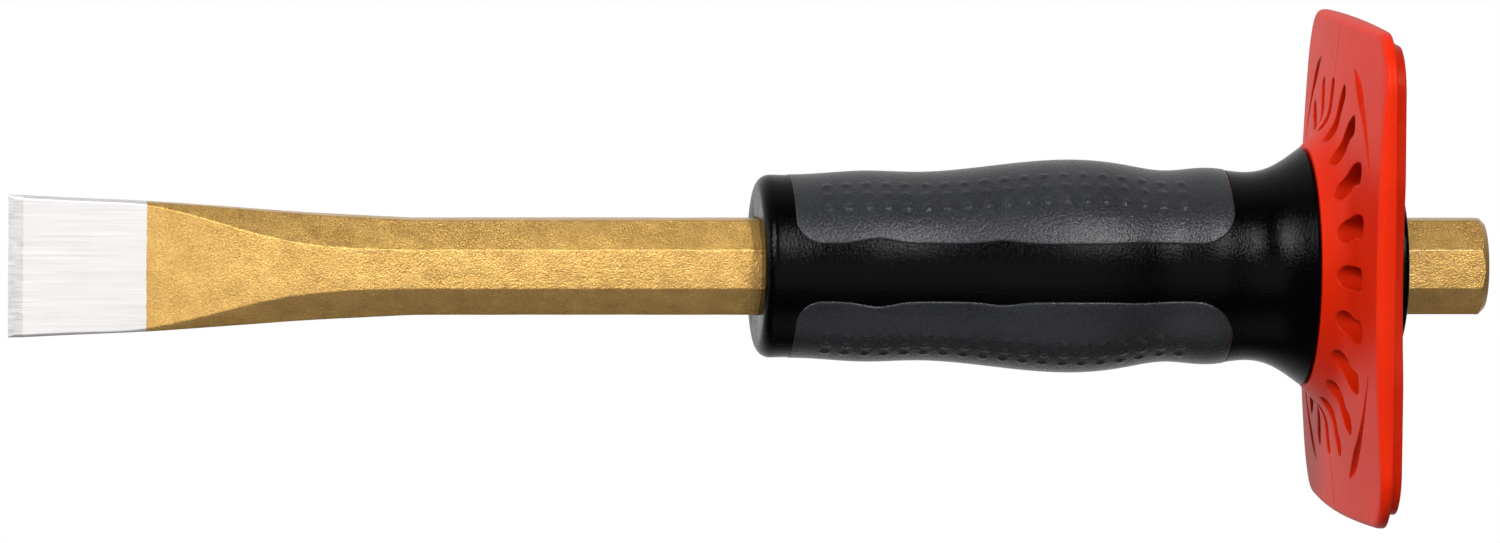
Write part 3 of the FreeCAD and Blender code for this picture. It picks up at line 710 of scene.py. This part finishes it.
def slot_loop(angle):
    """Outline of one slot, anticlockwise: straight on the four axes and bowed between."""
    twice = math.sin(math.radians(2 * angle))
    half = (SLOT_WIDTH - SLOT_NARROWING * math.sin(math.radians(angle)) ** 2) / 2
    inner = (SLOT_INNER + half) * spin(angle)
    outer = (SLOT_OUTER + SLOT_LENGTHENING * abs(twice)) * spin(angle - SLOT_LEAN * twice)
    chord = outer - inner
    way = chord / abs(chord)
    swing = 2 * math.atan(2 * SLOT_BOW * twice / abs(chord))
    share = np.linspace(0, 1, 27)
    if abs(swing) < 1e-6:
        centre = inner + chord * share
    else:
        turned = np.exp(1j * swing) - np.exp(1j * swing * (1 - 2 * share))
        centre = inner + chord * turned / (2j * math.sin(swing))
    heading = way * np.exp(1j * swing * (1 - 2 * share))
    low = centre - 1j * heading * half
    high = centre + 1j * heading * half
    sag = SLOT_TIP_SAG
    cap_radius = (1 + sag**2) / (2 * sag)
    cap_half = math.asin(1 / cap_radius)
    bend = np.linspace(-cap_half, cap_half, 11)[1:-1]
    cap = outer + heading[-1] * half * (sag - cap_radius + cap_radius * np.exp(1j * bend))
    heel = inner + heading[0] * half * np.exp(1j * np.linspace(math.pi / 2, 3 * math.pi / 2, 15)[1:-1])
    loop = even_loop(np.concatenate([low, cap, high[::-1], heel]), 66)
    for _ in range(4):
        loop = (np.roll(loop, 1) + 2 * loop + np.roll(loop, -1)) / 4
    return loop


def even_loop(loop, count):
    """The same closed loop with evenly spaced points."""
    closed = np.append(loop, loop[0])
    run = np.concatenate([[0], np.cumsum(np.abs(np.diff(closed)))])
    where = np.arange(count) * run[-1] / count
    return np.interp(where, run, closed.real) + 1j * np.interp(where, run, closed.imag)


def grown(loop, distance):
    """An anticlockwise loop moved outwards by a distance."""
    tangent = np.roll(loop, -1) - np.roll(loop, 1)
    return loop - 1j * tangent / np.abs(tangent) * distance


def inside_loop(points, loop):
    """Which points lie inside a closed loop."""
    after = np.roll(loop, -1)
    result = np.zeros(len(points), bool)
    near = np.abs(points - loop.mean()) < np.abs(loop - loop.mean()).max()
    tested = points[near][:, None]
    crosses = (loop.imag > tested.imag) != (after.imag > tested.imag)
    rise = np.where(after.imag == loop.imag, 1.0, after.imag - loop.imag)
    meets = (after.real - loop.real) * (tested.imag - loop.imag) / rise + loop.real
    result[near] = (crosses & (tested.real < meets)).sum(axis=1) % 2 == 1
    return result


def clear_of(points, loops):
    """Which points lie outside every loop."""
    clear = np.full(len(points), True)
    for loop in loops:
        clear &= ~inside_loop(points, loop)
    return clear


def crescent_half_width(share):
    """Half width of a crescent from its fine tail (share 0) over its belly to its tip (1)."""
    belly = CRESCENT_TUBE - CRESCENT_TIP
    rising = (np.minimum(share, CRESCENT_PEAK) / CRESCENT_PEAK) ** CRESCENT_RISE
    past = np.clip((share - CRESCENT_PEAK) / (1 - CRESCENT_PEAK), 0, 1)
    return CRESCENT_TIP + belly * rising * np.cos(np.pi / 2 * past)


def crescent_loop(tail, sweep, scale, margin):
    """Loop round a crescent: its half width times scale, and a margin."""
    share = np.linspace(0, 1, 30)
    angles = tail + sweep * share
    width = crescent_half_width(share) * scale + margin
    outer = (CRESCENT_RADIUS + width) * spin(angles)
    inner = (CRESCENT_RADIUS - width) * spin(angles)
    ahead = 1j * spin(angles[-1]) * math.copysign(1, sweep)
    behind = -1j * spin(angles[0]) * math.copysign(1, sweep)
    tip = CRESCENT_RADIUS * spin(angles[-1]) + ahead * width[-1]
    heel = CRESCENT_RADIUS * spin(angles[0]) + behind * width[0]
    return np.concatenate([outer, [tip], inner[::-1], [heel]])


class PlaneNet:
    """Points and constraint edges of a plane region; each point has a lift along X."""

    def __init__(self):
        self.points = []
        self.lifts = []
        self.edges = []

    def add(self, points, lift, closed=None):
        """Adds points; closed tells whether edges join them into a loop or a line."""
        first = len(self.points)
        count = len(points)
        self.points += list(points)
        self.lifts += list(np.broadcast_to(lift, count))
        if closed is not None:
            self.edges += [(first + i, first + i + 1) for i in range(count - 1)]
        if closed:
            self.edges.append((first + count - 1, first))

    def triangles(self, keep):
        """Constrained Delaunay triangles whose middles pass the test."""
        flat = [Vector((p.real, p.imag)) for p in self.points]
        result = geometry.delaunay_2d_cdt(flat, self.edges, [], 0, 1e-6)
        places = np.array([complex(v[0], v[1]) for v in result[0]])
        lifts = np.array([self.lifts[origin[0]] if origin else 0.0 for origin in result[3]])
        faces = np.array(result[2])
        middles = places[faces].mean(axis=1)
        return places, lifts, faces[keep(middles)]


def shield_front(slots, rim_angles, hub_angles):
    """Front skin: neck, blend, rounded slot edges, crescents, seam lines, rounded rim."""
    net = PlaneNet()
    net.add(NECK_RADIUS * spin(hub_angles), 0.0, closed=True)
    rim_steps = 7
    for k in range(rim_steps + 1):
        lean = math.pi / 2 * k / rim_steps
        inset = RIM_ROUND * (1 - math.sin(lean))
        lift = RIM_ROUND * (1 - math.cos(lean))
        net.add(outline_reach(rim_angles, inset) * spin(rim_angles), lift, closed=True)
    taken = []
    for loop in slots:
        for k in range(5):
            lean = math.pi / 2 * k / 4
            distance = SLOT_ROUND * (1 - math.cos(lean))
            net.add(grown(loop, distance), SLOT_ROUND * (1 - math.sin(lean)), closed=True)
        taken.append(grown(loop, SLOT_ROUND + 0.3))
    share = np.linspace(0, 1, 30)
    depth = crescent_half_width(share)
    for tail, sweep in crescents():
        net.add(CRESCENT_RADIUS * spin(tail + sweep * share), depth, closed=False)
        for part in (0.35, 0.65, 0.85, 0.97):
            level = depth * math.sqrt(1 - part**2)
            ends = [level[-1] / 2, level[0] / 2]
            lift = np.concatenate([level, ends[:1], level[::-1], ends[1:]])
            net.add(crescent_loop(tail, sweep, part, 0.0), lift, closed=True)
        for margin, lift in ((0.04, 0.05), (CRESCENT_LIP / 2, 0.012), (CRESCENT_LIP, 0.0)):
            net.add(crescent_loop(tail, sweep, 1.0, margin), lift, closed=True)
        taken.append(crescent_loop(tail, sweep, 1.0, 2 * CRESCENT_LIP))
    for side in (1j, -1j):
        line = np.linspace(SEAM_START, SEAM_END, 20) * side
        for offset, rise in SEAM_PROFILE:
            net.add(line + offset, rise, closed=False)
        near = (SEAM_START - 0.6) * side
        far = (SEAM_END + 0.6) * side
        taken.append(np.array([SEAM_CLEAR + near, SEAM_CLEAR + far, far - SEAM_CLEAR, near - SEAM_CLEAR]))
    rings = []
    for radius, gap in ring_plan():
        count = max(24, int(math.tau * radius / gap))
        rings.append(radius * spin(360.0 * (np.arange(count) + 0.5 * (len(rings) % 2)) / count))
    loose = np.concatenate(rings)
    angle = np.degrees(np.angle(loose))
    inside_rim = np.abs(loose) < outline_reach(angle, RIM_ROUND + 0.5)
    net.add(loose[inside_rim & clear_of(loose, taken)], 0.0)

    def keep(middles):
        off_hub = np.abs(middles) > NECK_RADIUS * math.cos(math.pi / len(hub_angles))
        return off_hub & clear_of(middles, slots)

    places, lifts, faces = net.triangles(keep)
    return lift_to(front_height(np.abs(places)) + lifts, places), faces


def crescents():
    """Tail angle and signed sweep of the four crescents; their tips point to the Z axis."""
    for half_turn in (0, 180):
        yield half_turn + CRESCENT_START, CRESCENT_SWEEP
        yield half_turn - CRESCENT_START, -CRESCENT_SWEEP


def ring_plan():
    """Radii and point gaps of the loose rings of the front skin."""
    plan = []
    radius = NECK_RADIUS + 0.4
    while radius < GUARD_HALF * 1.25:
        fine = radius < FINE_RINGS_END
        plan.append((radius, 0.55 if fine else 1.0))
        radius += 0.42 if fine else 0.95
    return plan


def shield_floor(slots, hub_angles, rim_angles):
    """Recess floor behind the slots."""
    net = PlaneNet()
    net.add(RECESS_INNER * spin(hub_angles), 0.0, closed=True)
    net.add(RECESS_OUTER * spin(rim_angles), 0.0, closed=True)
    for loop in slots:
        net.add(loop, 0.0, closed=True)
    rings = []
    for radius in np.arange(RECESS_INNER + 0.9, RECESS_OUTER - 0.4, 1.0):
        rings.append(radius * spin(full_turn(int(math.tau * radius / 1.1))))
    loose = np.concatenate(rings)
    net.add(loose[clear_of(loose, [grown(loop, 0.6) for loop in slots])], 0.0)

    def keep(middles):
        reach = np.abs(middles)
        in_recess = (reach > RECESS_INNER * math.cos(math.pi / len(hub_angles))) & (reach < RECESS_OUTER)
        return in_recess & clear_of(middles, slots)

    places, _, faces = net.triangles(keep)
    return lift_to(RECESS_FLOOR, places), faces


def ring_strip(profile, angles):
    """Band of quads from rings (X, radius); both may vary with the angle."""
    rows = [lift_to(along, reach * spin(angles)) for along, reach in profile]
    return np.concatenate(rows), grid_faces(len(rows), len(angles), ring=True)


def make_shield(material):
    """The guard: a dished, slotted plate on a neck, with a lobed back layer."""
    rim_angles = full_turn(480)
    hub_angles = full_turn(240)
    slots = [slot_loop(angle) for angle in full_turn(SLOT_COUNT)]
    parts = [shield_front(slots, rim_angles, hub_angles), shield_floor(slots, hub_angles, rim_angles)]
    rim = outline_reach(rim_angles, 0.0)
    lobe = lobe_reach(rim_angles)
    soft = BACK_ROUND
    middle = soft * ROUND_MIDDLE
    outside = [(front_height(rim) + RIM_ROUND, rim), (RIM_BACK - soft, rim)]
    outside += arc_rows(RIM_BACK - soft, rim - soft, soft)
    outside += [(RIM_BACK, lobe + 0.05), (RIM_BACK + 0.05, lobe), (LOBE_BACK - soft, lobe)]
    outside += arc_rows(LOBE_BACK - soft, lobe - soft, soft)
    recess = RECESS_OUTER + RECESS_DRAFT
    one = np.ones(len(rim_angles))
    outside += [(LOBE_BACK, (recess + soft) * one), (LOBE_BACK - middle, (recess + middle) * one)]
    outside += [(LOBE_BACK - soft, (recess - 0.05) * one), (RECESS_FLOOR, RECESS_OUTER * one)]
    parts.append(ring_strip(outside, rim_angles))
    hub = RECESS_INNER - RECESS_DRAFT
    one = np.ones(len(hub_angles))
    inside = [(RECESS_FLOOR, RECESS_INNER * one), (LOBE_BACK - soft, hub * one)]
    inside += [(LOBE_BACK - middle, (hub - middle) * one), (LOBE_BACK, (hub - soft) * one)]
    inside += [(LOBE_BACK, (SPIGOT_RADIUS + 0.2) * one), (LOBE_BACK - 0.2, SPIGOT_RADIUS * one)]
    inside += [(NECK_FACE, SPIGOT_RADIUS * one), (NECK_FACE, NECK_RADIUS * one)]
    parts.append(ring_strip(inside, hub_angles))
    for loop in slots:
        walls = [lift_to(front_height(np.abs(loop)) + SLOT_ROUND, loop), lift_to(RECESS_FLOOR, loop)]
        parts.append((np.concatenate(walls), grid_faces(2, len(loop), ring=True)))
    points = []
    faces = []
    first = 0
    for part_points, part_faces in parts:
        points.append(part_points)
        faces += (part_faces + first).tolist()
        first += len(part_points)
    make_piece("shield", np.concatenate(points), faces, material,
               "hand_guard", "guard_shield", 40.0)


def arc_rows(along, reach, radius):
    """Rings of a quarter-round edge, from the side wall to the back."""
    turns = np.radians([30, 60, 90])
    return [(along + radius * math.sin(t), reach + radius * math.cos(t)) for t in turns]


# ---- rear collar


def make_collar(material):
    """Cap ring behind the guard, with rounded outer corners."""
    low = COLLAR_LOW[0]
    high = COLLAR_HIGH[0]
    reach = COLLAR_HIGH[2]
    soft = COLLAR_ROUND
    profile = [(low, COLLAR_HOLE), (low, reach - 0.2), (low + 0.2, reach), (high - soft, reach)]
    for lean in np.radians([15, 30, 45, 60, 75, 90]):
        profile.append((high - soft + soft * math.sin(lean), reach - soft + soft * math.cos(lean)))
    middle = COLLAR_LIP * ROUND_MIDDLE
    profile += [(high, COLLAR_HOLE + COLLAR_LIP), (high - middle, COLLAR_HOLE + middle)]
    profile += [(high - COLLAR_LIP, COLLAR_HOLE), (low, COLLAR_HOLE)]
    angles = full_turn(180)
    one = np.ones(len(angles))
    points, faces = ring_strip([(along, radius * one) for along, radius in profile], angles)
    make_piece("collar", points, faces, material,
               "hand_guard", "rear_collar", 32.0)


# ---- materials


class Nodes:
    """Short way to build the node tree of a material or a world."""

    def __init__(self, owner, output="ShaderNodeOutputMaterial"):
        owner.use_nodes = True
        self.owner = owner
        self.tree = owner.node_tree
        self.tree.nodes.clear()
        self.output = self.new(output)

    def link(self, source, target):
        self.tree.links.new(source, target)

    def new(self, kind, **settings):
        node = self.tree.nodes.new(kind)
        for name, value in settings.items():
            setattr(node, name, value)
        return node

    def place(self, kind):
        """Coordinates of a kind, from a node of their own."""
        return self.new("ShaderNodeTexCoord").outputs[kind]

    def math(self, operation, first, second):
        """Math node; each operand is a socket or a number."""
        node = self.new("ShaderNodeMath", operation=operation)
        for i, value in enumerate((first, second)):
            if isinstance(value, (int, float)):
                node.inputs[i].default_value = value
            else:
                self.link(value, node.inputs[i])
        return node.outputs[0]

    def noise(self, scale, detail, roughness=0.5, stretch=(1, 1, 1)):
        """Noise over the object's own coordinates; scale is in repeats per metre."""
        mapping = self.new("ShaderNodeMapping")
        mapping.inputs["Scale"].default_value = stretch
        self.link(self.place("Object"), mapping.inputs["Vector"])
        node = self.new("ShaderNodeTexNoise")
        node.inputs["Scale"].default_value = scale
        node.inputs["Detail"].default_value = detail
        node.inputs["Roughness"].default_value = roughness
        self.link(mapping.outputs["Vector"], node.inputs["Vector"])
        return node.outputs["Fac"]

    def ramp(self, value, low, high, start, end, **settings):
        """Values from low to high become start to end, clamped."""
        node = self.new("ShaderNodeMapRange", **settings)
        for name, number in (("From Min", low), ("From Max", high), ("To Min", start), ("To Max", end)):
            node.inputs[name].default_value = number
        self.link(value, node.inputs["Value"])
        return node.outputs["Result"]

    def vary(self, noise, start, end, reach=0.2):
        """Values from start to end over the middle of a noise's range."""
        return self.ramp(noise, 0.5 - reach, 0.5 + reach, start, end)

    def blend(self, factor, first, second):
        """Colour between two colours; each is a socket or RGB numbers."""
        node = self.new("ShaderNodeMix", data_type="RGBA")
        self.link(factor, node.inputs["Factor"])
        for name, colour in (("A", first), ("B", second)):
            socket = [s for s in node.inputs if s.name == name and s.type == "RGBA"][0]
            if isinstance(colour, tuple):
                socket.default_value = (*colour, 1.0)
            else:
                self.link(colour, socket)
        return [s for s in node.outputs if s.type == "RGBA"][0]

    def bump(self, height, distance, strength):
        """Bump of a height socket; distance is in metres."""
        node = self.new("ShaderNodeBump")
        node.inputs["Strength"].default_value = strength
        node.inputs["Distance"].default_value = distance
        self.link(height, node.inputs["Height"])
        return node.outputs["Normal"]

    def shader(self, colour, roughness, normal, **constants):
        """Principled shader; colour and roughness are sockets, the rest constants."""
        node = self.new("ShaderNodeBsdfPrincipled")
        self.link(colour, node.inputs["Base Color"])
        self.link(roughness, node.inputs["Roughness"])
        self.link(normal, node.inputs["Normal"])
        for name, value in constants.items():
            node.inputs[name.replace("_", " ")].default_value = value
        return node.outputs["BSDF"]

    def mix(self, factor, first, second):
        """First shader where the factor is 0, second where it is 1."""
        node = self.new("ShaderNodeMixShader")
        for i, socket in enumerate((factor, first, second)):
            self.link(socket, node.inputs[i])
        return node.outputs[0]

    def finish(self, shader):
        self.link(shader, self.output.inputs["Surface"])
        return self.owner


def make_bar_material():
    """Gold lacquer over forged grain, with a bare ground blade at the cutting edge."""
    n = Nodes(bpy.data.materials.new("lacquered_steel"))
    split = n.new("ShaderNodeSeparateXYZ")
    n.link(n.place("Object"), split.inputs[0])
    x = split.outputs["X"]

    grain = n.noise(3200, 2.0, 0.6)
    cloud = n.noise(260, 3.0)
    wide = n.noise(60, 2.0, stretch=(0.4, 1, 1))
    edge = n.new("ShaderNodeAttribute", attribute_name="edge").outputs["Fac"]
    tone = n.math("ADD", n.vary(grain, 0.0, 0.6), n.vary(cloud, 0.0, 0.4))
    gold = n.blend(tone, (0.30, 0.164, 0.031), (0.65, 0.392, 0.112))
    gold = n.blend(n.vary(wide, 0.0, 0.12, 0.15), gold, (0.36, 0.20, 0.041))
    # Painted shade: the rounded corners are darkened towards a dull brown, standing in for the darker
    # surroundings that they reflect.
    edge_shade = n.math("MULTIPLY", edge, n.vary(n.noise(900, 3.0), 0.0, 0.45, 0.15))
    gold = n.blend(edge_shade, gold, (0.20, 0.125, 0.034))
    lacquer_height = n.math("ADD", grain, n.math("MULTIPLY", cloud, 1.2))
    forged = n.ramp(x, BLADE_SMOOTH * MM, SHANK_ROUGH * MM, 0.45, 1.0)
    lacquer_height = n.math("MULTIPLY", lacquer_height, forged)
    lacquer = n.shader(
        gold,
        n.vary(grain, 0.34, 0.5),
        n.bump(lacquer_height, 0.00016, 1.0),
        Metallic=0.85,
        Coat_Weight=0.35,
        Coat_Roughness=0.3,
    )

    fine = n.noise(900, 4.0, 0.65, stretch=(0.05, 1.0, 3.2))
    stain = n.noise(130, 3.0)
    steel = n.blend(n.vary(fine, 0.0, 1.0), (0.48, 0.468, 0.464), (0.57, 0.558, 0.554))
    steel = n.blend(n.ramp(stain, 0.4, 0.7, 0.0, 0.25), steel, (0.45, 0.442, 0.438))
    ground = n.shader(
        steel,
        n.vary(fine, 0.42, 0.56),
        n.bump(fine, 0.00002, 0.5),
        Metallic=0.75,
    )

    wander = n.vary(n.noise(700, 2.0), -0.00008, 0.00008)
    border = (TIP + GROUND_LENGTH) * MM
    is_lacquered = n.math("GREATER_THAN", n.math("ADD", x, wander), border)
    return n.finish(n.mix(is_lacquered, ground, lacquer))


def make_plastic(name, dark, light, roughness, grain_scale, depth, **constants):
    """Moulded plastic with a fine grain from its mould and a faint colour drift."""
    n = Nodes(bpy.data.materials.new(name))
    grain = n.noise(grain_scale, 3.0, 0.6)
    drift = n.noise(90, 2.0)
    tone = n.math("ADD", n.vary(grain, 0.0, 0.55), n.vary(drift, 0.0, 0.45))
    colour = n.blend(tone, dark, light)
    rough = n.vary(grain, roughness - 0.05, roughness + 0.07)
    return n.finish(n.shader(colour, rough, n.bump(grain, depth, 0.8), **constants))


# ---- stage


def make_floor():
    """Large pale floor under the object."""
    level = (SHIELD_LOW[2] - FLOOR_GAP) * MM
    mesh = bpy.data.meshes.new("floor")
    signs = ((-1, -1), (1, -1), (1, 1), (-1, 1))
    corners = [(x * FLOOR_REACH, y * FLOOR_REACH, level) for x, y in signs]
    mesh.from_pydata(corners, [], [(0, 1, 2, 3)])
    made = new_object("floor", mesh)
    n = Nodes(bpy.data.materials.new("floor"))
    glow = n.new("ShaderNodeEmission")
    glow.inputs["Color"].default_value = (1.0, 1.0, 1.0, 1.0)
    glow.inputs["Strength"].default_value = 1.0
    mesh.materials.append(n.finish(glow.outputs[0]))
    made.visible_diffuse = False
    made.visible_glossy = False
    made.visible_shadow = False


def make_world():
    """White to the camera; for the light, a white backdrop behind the object in a dim room."""
    world = bpy.data.worlds.new("studio")
    bpy.context.scene.world = world
    n = Nodes(world, "ShaderNodeOutputWorld")
    backdrop = n.new("ShaderNodeBackground")
    backdrop.inputs["Color"].default_value = (1.0, 1.0, 1.0, 1.0)
    lean = n.new("ShaderNodeVectorMath", operation="DOT_PRODUCT")
    lean.inputs[1].default_value = BACKDROP_WAY
    n.link(n.place("Generated"), lean.inputs[0])
    level = n.ramp(lean.outputs["Value"], 0.0, BACKDROP_FADE, ROOM_FRONT, ROOM_BACK,
                   interpolation_type="SMOOTHSTEP")
    room = n.new("ShaderNodeBackground")
    n.link(level, room.inputs["Strength"])
    seen = n.new("ShaderNodeLightPath").outputs["Is Camera Ray"]
    n.finish(n.mix(seen, room.outputs[0], backdrop.outputs[0]))


def heading(azimuth, elevation):
    """Unit vector away from the object; azimuth 0 is the near side, + towards +X."""
    side = math.radians(azimuth)
    up = math.radians(elevation)
    return Vector((math.sin(side) * math.cos(up), -math.cos(side) * math.cos(up), math.sin(up)))


def make_light(name, azimuth, elevation, distance, width, height, radiance):
    """Soft box that looks at the object."""
    light = bpy.data.lights.new(name, "AREA")
    light.shape = "RECTANGLE"
    light.size = width
    light.size_y = height
    light.energy = math.pi * width * height * radiance
    made = new_object(name, light)
    way = heading(azimuth, elevation)
    made.location = way * distance
    made.rotation_euler = (-way).to_track_quat("-Z", "Y").to_euler()
    made.visible_camera = False


def make_camera():
    """Camera far off at the near side, a little to the blade's end and a little raised."""
    data = bpy.data.cameras.new("camera")
    data.lens = CAMERA_LENS
    data.sensor_width = 36.0
    data.clip_start = 0.1
    data.clip_end = 20.0
    made = new_object("camera", data)
    roll = math.radians(CAMERA_ROLL)
    back = heading(-CAMERA_TURN, CAMERA_RISE)
    level = heading(90.0 - CAMERA_TURN, 0.0)
    upright = back.cross(level)
    right = level * math.cos(roll) + upright * math.sin(roll)
    up = back.cross(right)
    made.matrix_world = Matrix((right, up, back)).transposed().to_4x4()
    made.location = (back * CAMERA_DISTANCE + right * CAMERA_ASIDE + up * CAMERA_DROP) * MM
    bpy.context.scene.camera = made


def build():
    """Every piece, its material, and the stage round it."""
    gold = make_bar_material()
    black = make_plastic("black_plastic", (0.0003, 0.0003, 0.0004), (0.0008, 0.0008, 0.0009),
                         0.14, 2500, 0.0001, Specular_IOR_Level=0.045)
    grey = make_plastic("grey_soft_pad", (0.008, 0.0085, 0.010), (0.019, 0.020, 0.0235),
                        0.26, 2200, 0.00014, Specular_IOR_Level=0.2)
    red = make_plastic("red_guard_plastic", (0.37, 0.008, 0.0005), (0.44, 0.013, 0.0010),
                       0.45, 2400, 0.00002, Specular_IOR_Level=0.12,
                       Specular_Tint=(1.0, 0.55, 0.35, 1.0))
    make_bar(gold)
    make_sleeve(black)
    make_pad("pad_upper", "grip_pad_upper", 1, grey)
    make_pad("pad_lower", "grip_pad_lower", -1, grey)
    make_shield(red)
    make_collar(black)
    make_floor()
    make_world()
    for light in LIGHTS:
        make_light(*light)
    make_camera()
    bpy.context.scene.view_settings.view_transform = "Standard"


build()
